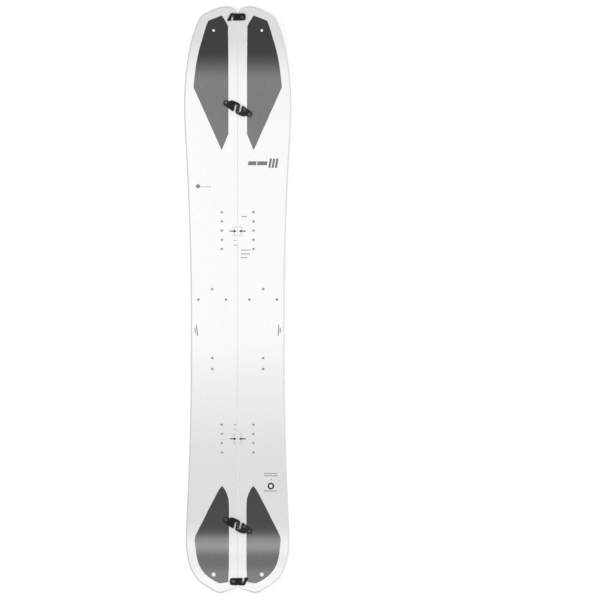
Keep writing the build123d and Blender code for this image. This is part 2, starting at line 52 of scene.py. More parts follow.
# the right-hand half's outline from the seam's nose end round to its tail end
OUTLINE = np.array([
    (0.2, 787), (0.228, 787.911), (0.302, 788.82), (0.412, 789.726), (0.553, 790.627), (0.725, 791.523),
    (0.924, 792.412), (1.152, 793.295), (1.41, 794.17), (1.698, 795.036), (2.018, 795.89), (2.372, 796.73),
    (2.764, 797.553), (3.198, 798.356), (3.676, 799.132), (4.205, 799.875), (4.785, 800.578), (5.413, 801.24),
    (6.083, 801.858), (6.791, 802.433), (7.53, 802.968), (8.295, 803.464), (9.082, 803.925), (9.886, 804.355),
    (10.704, 804.759), (11.533, 805.14), (12.369, 805.503), (13.212, 805.852), (14.059, 806.189), (14.912, 806.513),
    (15.769, 806.824), (16.631, 807.122), (17.498, 807.407), (18.368, 807.678), (19.243, 807.936), (20.122, 808.179),
    (21.005, 808.409), (21.891, 808.624), (22.781, 808.824), (23.674, 809.01), (24.57, 809.18), (26.37, 809.475),
    (28.179, 809.706), (29.996, 809.872), (31.817, 809.972), (33.641, 810.003), (35.464, 809.966), (37.286, 809.864),
    (39.102, 809.701), (40.913, 809.481), (42.716, 809.206), (44.511, 808.882), (46.297, 808.51), (48.073, 808.094),
    (49.839, 807.638), (51.595, 807.145), (53.341, 806.617), (55.077, 806.058), (56.804, 805.469), (58.521, 804.853),
    (60.229, 804.214), (61.929, 803.551), (63.62, 802.869), (65.304, 802.168), (66.982, 801.451), (68.653, 800.72),
    (70.319, 799.978), (71.981, 799.226), (73.64, 798.467), (75.296, 797.703), (76.951, 796.936), (78.606, 796.168),
    (80.261, 795.401), (81.918, 794.638), (83.576, 793.878), (85.233, 793.115), (86.885, 792.342), (88.528, 791.549),
    (90.158, 790.73), (91.769, 789.875), (93.356, 788.976), (94.913, 788.026), (96.431, 787.015), (97.901, 785.935),
    (99.313, 784.781), (100.655, 783.546), (101.918, 782.23), (103.103, 780.843), (104.213, 779.396), (105.256, 777.9),
    (106.238, 776.363), (107.165, 774.792), (108.045, 773.194), (108.884, 771.575), (109.689, 769.938), (110.467, 768.288),
    (111.224, 766.628), (111.962, 764.96), (112.682, 763.284), (113.385, 761.601), (114.072, 759.911), (115.617, 755.945),
    (117.092, 751.953), (118.513, 747.941), (119.893, 743.915), (121.247, 739.879), (122.573, 735.835), (123.868, 731.781),
    (125.127, 727.715), (126.346, 723.637), (127.521, 719.546), (128.647, 715.441), (129.719, 711.322), (130.734, 707.189),
    (131.693, 703.042), (132.601, 698.884), (133.461, 694.716), (134.276, 690.538), (135.051, 686.353), (135.788, 682.161),
    (136.492, 677.964), (137.167, 673.761), (137.816, 669.555), (138.443, 665.345), (139.053, 661.132), (139.646, 656.918),
    (140.225, 652.701), (140.788, 648.482), (141.334, 644.261), (141.863, 640.038), (142.375, 635.813), (143.675, 624.278),
    (144.828, 612.727), (145.821, 601.162), (146.647, 589.584), (147.307, 577.995), (147.801, 566.397), (148.129, 554.794),
    (148.291, 543.187), (148.298, 531.58), (148.165, 519.972), (147.909, 508.367), (147.546, 496.765), (147.092, 485.166),
    (146.565, 473.57), (145.979, 461.977), (145.351, 450.386), (144.697, 438.797), (144.031, 427.208), (143.357, 415.619),
    (142.681, 404.031), (142.006, 392.443), (141.338, 380.854), (140.68, 369.265), (140.037, 357.675), (139.414, 346.084),
    (138.815, 334.491), (138.244, 322.897), (137.701, 311.302), (137.186, 299.705), (136.695, 288.108), (136.227, 276.509),
    (135.78, 264.91), (135.351, 253.31), (134.939, 241.709), (134.542, 230.108), (134.158, 218.507), (133.785, 206.905),
    (133.423, 195.303), (133.075, 183.7), (132.74, 172.097), (132.419, 160.493), (132.114, 148.889), (131.825, 137.285),
    (131.553, 125.68), (131.299, 114.075), (131.064, 102.469), (130.847, 90.864), (130.648, 79.257), (130.467, 67.651),
    (130.301, 56.044), (130.151, 44.437), (130.017, 32.83), (129.896, 21.223), (129.788, 9.615), (129.693, -1.992),
    (129.61, -13.6), (129.538, -25.208), (129.477, -36.816), (129.425, -48.423), (129.384, -60.031), (129.351, -71.639),
    (129.327, -83.247), (129.311, -94.855), (129.302, -106.463), (129.3, -118.071), (129.305, -129.679), (129.318, -141.287),
    (129.339, -152.895), (129.371, -164.502), (129.413, -176.11), (129.467, -187.718), (129.532, -199.326), (129.611, -210.934),
    (129.705, -222.541), (129.813, -234.149), (129.936, -245.756), (130.076, -257.363), (130.232, -268.97), (130.405, -280.576),
    (130.596, -292.183), (130.805, -303.789), (131.032, -315.395), (131.279, -327), (131.545, -338.605), (131.83, -350.209),
    (132.133, -361.813), (132.451, -373.417), (132.784, -385.02), (133.13, -396.623), (133.486, -408.225), (133.853, -419.827),
    (134.227, -431.429), (134.608, -443.031), (134.994, -454.632), (135.389, -466.234), (135.797, -477.834), (136.22, -489.435),
    (136.663, -501.034), (137.129, -512.633), (137.622, -524.23), (138.145, -535.826), (138.703, -547.421), (139.298, -559.014),
    (139.921, -570.605), (140.551, -582.196), (141.165, -593.787), (141.742, -605.381), (142.257, -616.977), (142.691, -628.577),
    (143.02, -640.18), (143.11, -644.436), (143.182, -648.691), (143.234, -652.947), (143.263, -657.203), (143.263, -661.46),
    (143.229, -665.716), (143.155, -669.971), (143.035, -674.226), (142.864, -678.479), (142.636, -682.729), (142.345, -686.975),
    (141.986, -691.216), (141.554, -695.45), (141.043, -699.675), (140.447, -703.89), (139.764, -708.091), (138.99, -712.276),
    (138.122, -716.443), (137.156, -720.588), (136.091, -724.708), (134.921, -728.801), (133.646, -732.861), (132.26, -736.885),
    (130.758, -740.868), (129.133, -744.801), (127.377, -748.678), (125.484, -752.49), (123.448, -756.227), (121.265, -759.881),
    (118.93, -763.439), (117.882, -764.932), (116.806, -766.405), (115.703, -767.857), (114.571, -769.288), (113.411, -770.695),
    (112.222, -772.079), (111.006, -773.438), (109.761, -774.772), (108.487, -776.078), (107.185, -777.355), (105.855, -778.603),
    (104.495, -779.819), (103.107, -781.002), (101.69, -782.151), (100.244, -783.263), (98.773, -784.341), (97.279, -785.388),
    (95.766, -786.406), (94.236, -787.4), (92.693, -788.373), (91.14, -789.329), (89.579, -790.273), (88.013, -791.208),
    (86.443, -792.137), (84.873, -793.066), (83.305, -793.997), (81.74, -794.935), (80.181, -795.881), (78.629, -796.841),
    (77.084, -797.811), (75.543, -798.786), (74.002, -799.762), (72.458, -800.734), (70.908, -801.695), (69.349, -802.642),
    (67.777, -803.567), (66.19, -804.466), (64.584, -805.332), (62.957, -806.157), (61.306, -806.932), (59.629, -807.648),
    (57.923, -808.295), (56.189, -808.861), (54.427, -809.332), (52.64, -809.695), (50.832, -809.935), (49.012, -810.04),
    (47.188, -810.01), (45.37, -809.86), (43.565, -809.604), (41.774, -809.257), (40, -808.834), (38.241, -808.349),
    (36.498, -807.813), (34.767, -807.237), (33.047, -806.631), (31.333, -806.004), (29.625, -805.365), (27.918, -804.721),
    (26.211, -804.08), (25.355, -803.763), (24.499, -803.45), (23.641, -803.14), (22.781, -802.837), (21.919, -802.54),
    (21.054, -802.25), (20.186, -801.968), (19.316, -801.696), (18.442, -801.434), (17.566, -801.18), (16.689, -800.931),
    (15.812, -800.681), (14.936, -800.427), (14.063, -800.163), (13.194, -799.887), (12.331, -799.592), (11.476, -799.274),
    (10.632, -798.928), (9.802, -798.55), (8.99, -798.134), (8.201, -797.678), (7.438, -797.177), (6.708, -796.631),
    (6.016, -796.038), (5.365, -795.399), (4.759, -794.718), (4.199, -793.998), (3.679, -793.249), (3.198, -792.474),
    (2.753, -791.678), (2.34, -790.865), (1.96, -790.036), (1.611, -789.193), (1.293, -788.339), (1.007, -787.473),
    (0.754, -786.596), (0.539, -785.71), (0.367, -784.815), (0.247, -783.91), (0.2, -783),
])


def arc_of(s):
    r = (HALF**2 + s**2) / (2 * s)
    return r, math.asin(HALF / r)


R_BOT, A_BOT = arc_of(CAMBER)
R_TOP, A_TOP = arc_of(CAMBER + THICK_MID - THICK_CONTACT)
Z0 = max(NOSE_R, TAIL_R) * (1 - math.cos(A_BOT))


def end_arc(sign, y, z, a0, r, a):
    c = (y + sign * r * math.sin(a0), z + r * math.cos(a0))
    return c, (c[0] + sign * r * math.sin(a), c[1] - r * math.cos(a))


def top_radius(sign, y, rb, a):
    _, e = end_arc(sign, y, 0.0, A_BOT, rb, a)
    n = (-sign * math.sin(a), math.cos(a))
    return (n[0] * y + n[1] * THICK_CONTACT - n[0] * e[0] - n[1] * e[1] - THICK_TIP) / (1 - math.cos(a + A_TOP))


NOSE_RT, TAIL_RT = top_radius(1, NOSE_CY, NOSE_R, NOSE_A), top_radius(-1, TAIL_CY, TAIL_R, TAIL_A)


def curve(top, off):
    """z of the profile's top or bottom curve moved off millimetres along its normal, as a function of y."""
    rc, a0, z, rn, rt = (R_TOP, A_TOP, THICK_CONTACT, NOSE_RT, TAIL_RT) if top else (R_BOT, A_BOT, 0.0, NOSE_R, TAIL_R)
    ccz = z - rc * math.cos(a0)
    cn, _ = end_arc(1, NOSE_CY, z, a0, rn, NOSE_A)
    ct, _ = end_arc(-1, TAIL_CY, z, a0, rt, TAIL_A)
    rc, rn, rt = rc + off, rn - off, rt - off

    def f(y):
        y = np.asarray(y, float)
        mid = ccz + np.sqrt(np.maximum(rc**2 - (y - MID_Y) ** 2, 0))
        nose = cn[1] - np.sqrt(np.maximum(rn**2 - np.clip(y - cn[0], -rn * 0.5, rn * math.sin(NOSE_A)) ** 2, 0))
        nose = nose + np.maximum(y - cn[0] - rn * math.sin(NOSE_A), 0) * math.tan(NOSE_A)
        tail = ct[1] - np.sqrt(np.maximum(rt**2 - np.clip(ct[0] - y, -rt * 0.5, rt * math.sin(TAIL_A)) ** 2, 0))
        tail = tail + np.maximum(ct[0] - y - rt * math.sin(TAIL_A), 0) * math.tan(TAIL_A)
        yn, yt = MID_Y + rc * math.sin(a0), MID_Y - rc * math.sin(a0)
        return np.where(y > yn, nose, np.where(y < yt, tail, mid)) + Z0

    return f


ZB0, ZB1, ZB2 = curve(False, 0.0), curve(False, BASE_T), curve(False, BASE_T + LAM_T)
ZT0, ZT1, ZT2 = curve(True, 0.0), curve(True, -TOP_T), curve(True, -TOP_T - LAM_T)

D = np.gradient(OUTLINE, axis=0)
D /= np.linalg.norm(D, axis=1)[:, None]
D[0], D[-1] = (0, 1), (0, 1)
NRM = np.stack([D[:, 1], -D[:, 0]], 1)
S = np.concatenate([[0], np.cumsum(np.linalg.norm(np.diff(OUTLINE, axis=0), axis=1))])
W = np.clip(np.minimum(S, S[-1] - S) / 60.0, 0, 1)
W = W * W * (3 - 2 * W)


def inset_line(inset, seam_inset=None):
    seam_inset = inset if seam_inset is None else seam_inset
    k = seam_inset + (inset - seam_inset) * W
    return OUTLINE + NRM * k[:, None]


def spans(inset, seam_inset=None):
    """Functions giving the inner and outer x at y, and the ends in y."""
    p = inset_line(inset, seam_inset)
    a, b = int(np.argmax(p[:, 1])), int(np.argmin(p[:, 1]))
    outer, nose, tail = p[a : b + 1], p[: a + 1], p[b:]
    seam = p[0, 0]

    def x_out(y):
        return np.interp(y, outer[::-1, 1], outer[::-1, 0])

    def x_in(y):
        up = np.interp(y, nose[:, 1], nose[:, 0], left=seam)
        dn = np.interp(y, tail[:, 1], tail[:, 0], right=seam)
        return np.where(y > 0, up, dn)

    return x_in, x_out, p[b, 1], p[a, 1]


def stations(lo, hi, step=5.0):
    """Rows from lo to hi, crowded towards both ends, where the outline turns."""
    near = [0.0, 0.03, 0.1, 0.22, 0.4, 0.62, 0.9, 1.25, 1.7, 2.2, 2.8, 3.5, 4.3, 5.2, 6.2, 7.3, 8.5, 9.8, 11.2, 12.7, 14.3, 16, 18, 20, 22.2, 24.5, 27, 29.7, 32.5, 35.5, 39, 43]
    mid = np.linspace(lo + 43, hi - 43, int((hi - lo - 86) / step))
    return np.array([lo + d for d in near[:-1]] + list(mid) + [hi - d for d in reversed(near[:-1])])


def new_object(name, verts, faces, mats, body, angle=32.0, face_mats=None):
    me = bpy.data.meshes.new(name)
    me.from_pydata([tuple(v) for v in (np.asarray(verts) * MM)], [], faces)
    bm = bmesh.new()
    bm.from_mesh(me)
    bmesh.ops.recalc_face_normals(bm, faces=bm.faces)
    bm.to_mesh(me)
    bm.free()
    ob = bpy.data.objects.new(name, me)
    bpy.context.scene.collection.objects.link(ob)
    for m in mats if isinstance(mats, (list, tuple)) else [mats]:
        me.materials.append(m)
    if face_mats is not None:
        for p, k in zip(me.polygons, face_mats):
            p.material_index = k
    smooth(me, angle)
    if body:
        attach(ob, body)
    return ob


def smooth(me, angle=32.0):
    me.polygons.foreach_set("use_smooth", [True] * len(me.polygons))
    me.set_sharp_from_angle(angle=math.radians(angle))
    me.update()


def slab(name, side, xin, xout, rows, zlow, zhigh, mats, body, cols=9, mat_top=0, mat_side=0):
    """A closed sheet between two heights, bounded in x by functions of y."""
    s = 1 if side == "right" else -1
    y = np.asarray(rows)
    a, b = xin(y), xout(y)
    b = np.maximum(b, a + 0.3)
    u = np.linspace(0, 1, cols)
    X = s * (a[:, None] + (b - a)[:, None] * u[None])
    Y = np.repeat(y[:, None], cols, 1)
    top = np.stack([X, Y, zhigh(Y)], -1).reshape(-1, 3)
    bot = np.stack([X, Y, zlow(Y)], -1).reshape(-1, 3)
    n, m = len(y), cols
    verts = np.concatenate([top, bot])
    off = n * m
    f, fm = [], []
    for i in range(n - 1):
        for j in range(m - 1):
            q = (i * m + j, i * m + j + 1, (i + 1) * m + j + 1, (i + 1) * m + j)
            f.append(q); fm.append(mat_top)
            f.append(tuple(off + v for v in reversed(q))); fm.append(mat_side)
    for i in range(n - 1):
        for j in (0, m - 1):
            p, q = i * m + j, (i + 1) * m + j
            f.append((p, q, off + q, off + p)); fm.append(mat_side)
    for i in (0, n - 1):
        for j in range(m - 1):
            p, q = i * m + j, i * m + j + 1
            f.append((p, q, off + q, off + p)); fm.append(mat_side)
    return new_object(name, verts, f, mats, body, face_mats=fm)


def tube_mesh(r, z0, z1, x, y, n=40):
    """Verts and faces of one capped cylinder."""
    a = np.arange(n) * 2 * math.pi / n
    lo = np.stack([x + r * np.cos(a), y + r * np.sin(a), np.full(n, z0)], 1)
    hi = lo.copy(); hi[:, 2] = z1
    f = [(i, (i + 1) % n, n + (i + 1) % n, n + i) for i in range(n)]
    f += [tuple(range(n - 1, -1, -1)), tuple(range(n, 2 * n))]
    return np.concatenate([lo, hi]), f


def punch(ob, holes, angle=32.0):
    """Cuts upright round holes (x, y, r) through a piece."""
    vs, fs, k = [], [], 0
    for x, y, r in holes:
        v, f = tube_mesh(r, -30, 130, x, y)
        vs.append(v); fs += [tuple(k + i for i in q) for q in f]; k += len(v)
    me = bpy.data.meshes.new("cutter")
    me.from_pydata([tuple(v) for v in np.concatenate(vs) * MM], [], fs)
    cut = bpy.data.objects.new("cutter", me)
    bpy.context.scene.collection.objects.link(cut)
    mod = ob.modifiers.new("holes", "BOOLEAN")
    mod.operation, mod.object, mod.solver = "DIFFERENCE", cut, "EXACT"
    bpy.context.view_layer.update()
    dep = bpy.context.evaluated_depsgraph_get()
    done = bpy.data.meshes.new_from_object(ob.evaluated_get(dep))
    ob.modifiers.remove(mod)
    ob.data = done
    bpy.data.objects.remove(cut)
    smooth(done, angle)


# ------------------------------------------------------------------ materials
def lin(v):
    v = v / 255.0
    return v / 12.92 if v <= 0.04045 else ((v + 0.055) / 1.055) ** 2.4


def grey(v):
    return (lin(v), lin(v), lin(v), 1.0)


def rgb(r, g, b):
    return (lin(r), lin(g), lin(b), 1.0)


class Mat:
    def __init__(self, name, base, rough=0.4, metal=0.0, coat=0.0, spec=0.5):
        self.m = bpy.data.materials.new(name)
        self.m.use_nodes = True
        self.t = self.m.node_tree
        self.bsdf = self.t.nodes["Principled BSDF"]
        b = self.bsdf.inputs
        b["Base Color"].default_value = base
        b["Roughness"].default_value = rough
        b["Metallic"].default_value = metal
        b["Coat Weight"].default_value = coat
        b["Coat Roughness"].default_value = 0.06
        b["Specular IOR Level"].default_value = spec
        self.coord = self.t.nodes.new("ShaderNodeTexCoord").outputs["Object"]

    def node(self, kind, **kw):
        n = self.t.nodes.new(kind)
        for k, v in kw.items():
            setattr(n, k, v)
        return n

    def link(self, a, b):
        self.t.links.new(a, b)

    def mapped(self, scale=(1, 1, 1), rot=(0, 0, 0)):
        n = self.node("ShaderNodeMapping")
        n.inputs["Scale"].default_value = scale
        n.inputs["Rotation"].default_value = rot
        self.link(self.coord, n.inputs["Vector"])
        return n.outputs["Vector"]

    def noise(self, scale, detail=4.0, rough=0.55, stretch=(1, 1, 1), rot=(0, 0, 0)):
        n = self.node("ShaderNodeTexNoise")
        n.inputs["Scale"].default_value = scale
        n.inputs["Detail"].default_value = detail
        n.inputs["Roughness"].default_value = rough
        self.link(self.mapped(stretch, rot), n.inputs["Vector"])
        return n.outputs["Fac"]

    def ramp(self, fac, stops, mode="LINEAR"):
        n = self.node("ShaderNodeValToRGB")
        n.color_ramp.interpolation = mode
        e = n.color_ramp.elements
        while len(e) > 1:
            e.remove(e[-1])
        e[0].position, e[0].color = stops[0]
        for p, c in stops[1:]:
            k = e.new(p)
            k.color = c
        self.link(fac, n.inputs["Fac"])
        return n.outputs["Color"]

    def along(self, axis, lo, hi):
        """0 to 1 as the object coordinate goes from lo to hi, in metres."""
        sep = self.node("ShaderNodeSeparateXYZ")
        self.link(self.coord, sep.inputs[0])
        n = self.node("ShaderNodeMapRange")
        n.inputs["From Min"].default_value = lo
        n.inputs["From Max"].default_value = hi
        self.link(sep.outputs[axis], n.inputs["Value"])
        return n.outputs["Result"]

    def mix(self, a, b, fac, blend="MIX"):
        n = self.node("ShaderNodeMix", data_type="RGBA", blend_type=blend)
        for sock, v in ((n.inputs[0], fac), (n.inputs[6], a), (n.inputs[7], b)):
            if hasattr(v, "is_output"):
                self.link(v, sock)
            else:
                sock.default_value = v
        return n.outputs[2]

    def math(self, op, a, b=0.0, clamp=False):
        n = self.node("ShaderNodeMath", operation=op, use_clamp=clamp)
        for sock, v in ((n.inputs[0], a), (n.inputs[1], b)):
            if hasattr(v, "is_output"):
                self.link(v, sock)
            else:
                sock.default_value = v
        return n.outputs[0]

    def color(self, c):
        self.link(c, self.bsdf.inputs["Base Color"])

    def rough(self, fac, lo, hi):
        n = self.node("ShaderNodeMapRange")
        n.inputs["From Min"].default_value = 0.3
        n.inputs["From Max"].default_value = 0.7
        n.inputs["To Min"].default_value = lo
        n.inputs["To Max"].default_value = hi
        self.link(fac, n.inputs["Value"])
        self.link(n.outputs["Result"], self.bsdf.inputs["Roughness"])

    def bump(self, fac, strength, dist=0.0002):
        n = self.node("ShaderNodeBump")
        n.inputs["Strength"].default_value = strength
        n.inputs["Distance"].default_value = dist
        self.link(fac, n.inputs["Height"])
        old = self.bsdf.inputs["Normal"]
        if old.is_linked:
            self.link(old.links[0].from_socket, n.inputs["Normal"])
        self.link(n.outputs["Normal"], old)


Y_LO, Y_HI = -0.810, 0.810


def px_to_fac(p):
    """A row counted down the 600-row view to a 0 to 1 position from tail to nose."""
    y = (299.6 - p) * 2.7608 * MM
    return (y - Y_LO) / (Y_HI - Y_LO)


# a grey ramp along the board's length, used for the painted light and shade in the tables below
def painted_light_ramp(mat, rows):
    stops = sorted((min(1, max(0, px_to_fac(p))), grey(v)) for p, v in rows)
    return mat.ramp(mat.along(1, Y_LO, Y_HI), stops)


def topsheet_material():
    m = Mat("topsheet_gloss_white", grey(244), 0.24, coat=0.25, spec=0.45)
    # painted shade: the topsheet's white is painted darker towards the nose and tail and lighter in the middle
    base = painted_light_ramp(m, TOP_PAINTED_LIGHT)
    cloud = m.noise(3.2, 3, 0.5)
    base = m.mix(base, m.mix(base, grey(238), 0.5), m.ramp(cloud, [(0.45, grey(0)), (0.8, grey(90))]))
    scratch = m.noise(420, 2, 0.6, stretch=(1.0, 0.06, 1.0), rot=(0, 0, 0.12))
    base = m.mix(base, grey(214), m.ramp(scratch, [(0.70, grey(0)), (0.78, grey(60))]))
    m.color(base)
    m.rough(m.noise(60, 5, 0.6), 0.20, 0.30)
    m.bump(m.noise(900, 2, 0.5), 0.05, 0.0001)
    m.bump(m.noise(28, 3, 0.5), 0.04, 0.0006)
    return m.m


def print_dark_material():
    m = Mat("print_dark_grey", grey(80), 0.30, coat=0.12, spec=0.32)
    # painted reflection: the dark print's grey rises and falls along the board, with a painted highlight band at the
    # tail bend
    base = painted_light_ramp(m, DARK_PAINTED_LIGHT)
    fibre = m.noise(240, 3, 0.6, stretch=(0.5, 0.08, 1))
    base = m.mix(base, grey(58), m.ramp(fibre, [(0.5, grey(0)), (0.8, grey(70))]))
    speck = m.noise(1500, 1, 0.5)
    base = m.mix(base, grey(170), m.ramp(speck, [(0.76, grey(0)), (0.80, grey(60))]))
    m.color(base)
    m.rough(m.noise(80, 4, 0.6), 0.24, 0.36)
    m.bump(m.noise(900, 2, 0.5), 0.05, 0.0001)
    return m.m


def print_material(name, v, rough=0.3):
    m = Mat(name, grey(v), rough, coat=0.3)
    grain = m.noise(1800, 2, 0.6)
    m.color(m.mix(grey(v), grey(min(255, v + 26)), m.ramp(grain, [(0.45, grey(0)), (0.75, grey(150))])))
    m.bump(m.noise(900, 2, 0.5), 0.04, 0.0001)
    return m.m


def green_material():
    m = Mat("print_green", rgb(74, 184, 104), 0.42)
    grain = m.noise(700, 3, 0.6, stretch=(1, 0.05, 1))
    m.color(m.mix(rgb(70, 180, 100), rgb(98, 202, 126), m.ramp(grain, [(0.4, grey(0)), (0.7, grey(255))])))
    m.rough(m.noise(120, 3, 0.5, stretch=(1, 0.05, 1)), 0.36, 0.5)
    m.bump(m.noise(1600, 2, 0.5, stretch=(1, 0.02, 1)), 0.25, 0.0001)
    return m.m


def sidewall_material():
    m = Mat("sidewall_abs", grey(205), 0.42)
    a = m.noise(900, 3, 0.6, stretch=(0.15, 0.15, 3.0))
    base = m.mix(grey(208), grey(188), m.ramp(a, [(0.35, grey(0)), (0.75, grey(255))]))
    base = m.mix(base, grey(160), m.ramp(m.noise(35, 4, 0.6), [(0.62, grey(0)), (0.85, grey(110))]))
    sep = m.node("ShaderNodeSeparateXYZ")
    m.link(m.coord, sep.inputs[0])
    # painted light: along the seam the sidewall is painted near-white, lighter than the outer sidewall of the same
    # plastic
    near = m.ramp(m.math("MULTIPLY", m.math("ABSOLUTE", sep.outputs[0]), 50.0), [(0.10, grey(255)), (0.35, grey(0))])
    base = m.mix(base, m.mix(grey(250), grey(238), m.ramp(a, [(0.35, grey(0)), (0.75, grey(255))])), near)
    # painted light: the right-hand half's sidewall is painted lighter than the left's to even out the light
    right = m.ramp(m.math("MULTIPLY", sep.outputs[0], 10.0), [(0.5, grey(0)), (0.8, grey(255))])
    base = m.mix(base, m.mix(grey(236), grey(220), m.ramp(a, [(0.35, grey(0)), (0.75, grey(255))])), right)
    m.color(base)
    m.rough(a, 0.36, 0.55)
    m.bump(a, 0.25, 0.0002)
    return m.m


def laminate_material():
    m = Mat("glass_laminate", rgb(196, 196, 178), 0.35, coat=0.2)
    weave = m.noise(2600, 2, 0.5, stretch=(1, 0.1, 1))
    m.color(m.mix(rgb(190, 190, 172), rgb(216, 216, 204), m.ramp(weave, [(0.4, grey(0)), (0.7, grey(255))])))
    m.bump(weave, 0.2, 0.0001)
    return m.m


def steel_material():
    m = Mat("edge_steel", grey(196), 0.3, metal=1.0)
    grind = m.noise(2200, 2, 0.6, stretch=(1, 1, 0.12))
    base = m.mix(grey(200), grey(160), m.ramp(grind, [(0.35, grey(0)), (0.75, grey(255))]))
    rust = m.noise(46, 5, 0.65)
    base = m.mix(base, rgb(150, 128, 108), m.ramp(rust, [(0.70, grey(0)), (0.86, grey(150))]))
    m.color(base)
    m.rough(grind, 0.22, 0.42)
    m.bump(grind, 0.3, 0.0001)
    return m.m


def base_material():
    m = Mat("running_base_sintered", grey(34), 0.4)
    # painted reflection: the black base is painted lighter and darker along the board, with a painted highlight near
    # the nose bend
    base = painted_light_ramp(m, BASE_PAINTED_LIGHT)
    structure = m.noise(1300, 2, 0.5, stretch=(1, 0.012, 1))
    cross = m.noise(900, 2, 0.5, stretch=(1, 0.02, 1), rot=(0, 0, 0.14))
    base = m.mix(base, grey(70), m.ramp(structure, [(0.55, grey(0)), (0.8, grey(110))]))
    base = m.mix(base, grey(20), m.ramp(cross, [(0.55, grey(0)), (0.85, grey(120))]))
    wax = m.noise(9, 4, 0.6, stretch=(1, 0.35, 1))
    base = m.mix(base, grey(96), m.ramp(wax, [(0.56, grey(0)), (0.9, grey(80))]))
    m.color(base)
    m.rough(wax, 0.34, 0.48)
    m.bump(structure, 0.35, 0.0001)
    m.bump(cross, 0.2, 0.0001)
    return m.m


def plate_material(name="hook_plate_black", v=10, rough=(0.38, 0.54), metal=0.0):
    m = Mat(name, grey(v), 0.4, metal=metal, spec=0.2)
    coat = m.noise(2400, 3, 0.6)
    base = m.mix(grey(v), grey(v + 16), m.ramp(coat, [(0.4, grey(0)), (0.75, grey(255))]))
    wear = m.noise(190, 5, 0.7)
    base = m.mix(base, grey(74), m.ramp(wear, [(0.70, grey(0)), (0.82, grey(110))]))
    m.color(base)
    m.rough(m.noise(300, 4, 0.6), *rough)
    m.bump(coat, 0.22, 0.0001)
    return m.m


def screw_material():
    m = Mat("screw_black_oxide", grey(78), 0.34, metal=1.0)
    turn = m.noise(1800, 3, 0.6)
    m.color(m.mix(grey(74), grey(112), m.ramp(turn, [(0.4, grey(0)), (0.7, grey(255))])))
    m.rough(m.noise(500, 4, 0.6), 0.26, 0.42)
    m.bump(turn, 0.2, 0.0001)
    return m.m


def insert_material():
    m = Mat("insert_stainless", grey(214), 0.36, metal=0.9)
    turn = m.noise(2100, 3, 0.6)
    m.color(m.mix(rgb(198, 199, 206), rgb(226, 227, 234), m.ramp(turn, [(0.4, grey(0)), (0.7, grey(255))])))
    m.rough(turn, 0.28, 0.46)
    m.bump(turn, 0.2, 0.0001)
    return m.m


def nylon_material():
    m = Mat("washer_nylon", grey(36), 0.55)
    g = m.noise(1500, 3, 0.6)
    m.color(m.mix(grey(32), grey(50), m.ramp(g, [(0.4, grey(0)), (0.7, grey(255))])))
    m.rough(g, 0.5, 0.65)
    m.bump(g, 0.2, 0.0001)
    return m.m


def wood_material():
    m = Mat("core_poplar", rgb(206, 170, 122), 0.55)
    grain = m.noise(160, 5, 0.6, stretch=(1, 0.03, 1))
    m.color(m.mix(rgb(214, 180, 134), rgb(168, 128, 84), m.ramp(grain, [(0.35, grey(0)), (0.75, grey(255))])))
    m.rough(grain, 0.5, 0.7)
    m.bump(grain, 0.3, 0.0002)
    return m.m


# painted light and shade along the board, as (row, grey level): bands of shade, reflection and highlight painted into
# the topsheet, dark print and base colours
TOP_PAINTED_LIGHT = [(6, 218), (38, 218), (50, 226), (62, 234), (74, 241), (86, 244), (120, 246), (340, 246), (370, 238),
            (400, 231), (430, 225), (450, 220), (480, 218), (522, 218), (532, 226), (542, 238), (550, 238), (558, 233), (568, 237), (580, 245), (593, 246)]
DARK_PAINTED_LIGHT = [(14, 46), (52, 48), (57, 58), (62, 76), (68, 96), (74, 112), (80, 121), (100, 118), (120, 119), (150, 122), (151, 80),
             (480, 58), (486, 58), (522, 62), (530, 68), (534, 92), (538, 126), (545, 149), (550, 134), (554, 115), (558, 100), (566, 104), (572, 120), (590, 128)]
BASE_PAINTED_LIGHT = [(6, 34), (55, 34), (70, 54), (80, 82), (100, 66), (140, 60), (230, 34), (340, 18), (380, 18), (460, 38), (530, 60), (550, 50), (560, 38), (593, 34)]

M_TOP, M_DARK, M_GREEN = topsheet_material(), print_dark_material(), green_material()
M_INK, M_INK_SOFT, M_INK_MID = print_material("print_ink_dark", 24), print_material("print_ink_soft", 112), print_material("print_ink_mid", 128)
M_INK_LIGHT, M_INK_FAINT = print_material("print_ink_light", 176), print_material("print_ink_faint", 200)
M_WALL, M_LAM, M_STEEL, M_BASE = sidewall_material(), laminate_material(), steel_material(), base_material()
M_PLATE, M_SCREW, M_INSERT, M_NYLON, M_WOOD = plate_material(), screw_material(), insert_material(), nylon_material(), wood_material()
M_CATCH = plate_material("catch_plate_black", 26, (0.40, 0.55), 0.0)


def paint(ob, mat):
    if not ob.material_slots:
        ob.data.materials.append(mat)
    for sl in ob.material_slots:
        sl.link = "OBJECT"
        sl.material = mat


# ------------------------------------------------------------------ the two halves
HOLE_TIPS = [(66.6, 743.0, 3.5), (66.6, -759.0, 5.5)]
RIDE = [(43.6, 190.5 + 25.4 * k) for k in (-2, -1, 0, 1, 2)] + [(43.6, -383.5 + 25.4 * k) for k in (-1.5, -0.5, 0.5, 1.5)]
TOUR = [(32.3, 0.0), (108.3, 0.0), (70.3, 29.0), (70.3, -161.5), (70.3, -191.5)]
INSERT_HOLES = [(x, y, 4.2) for x, y in RIDE + TOUR]


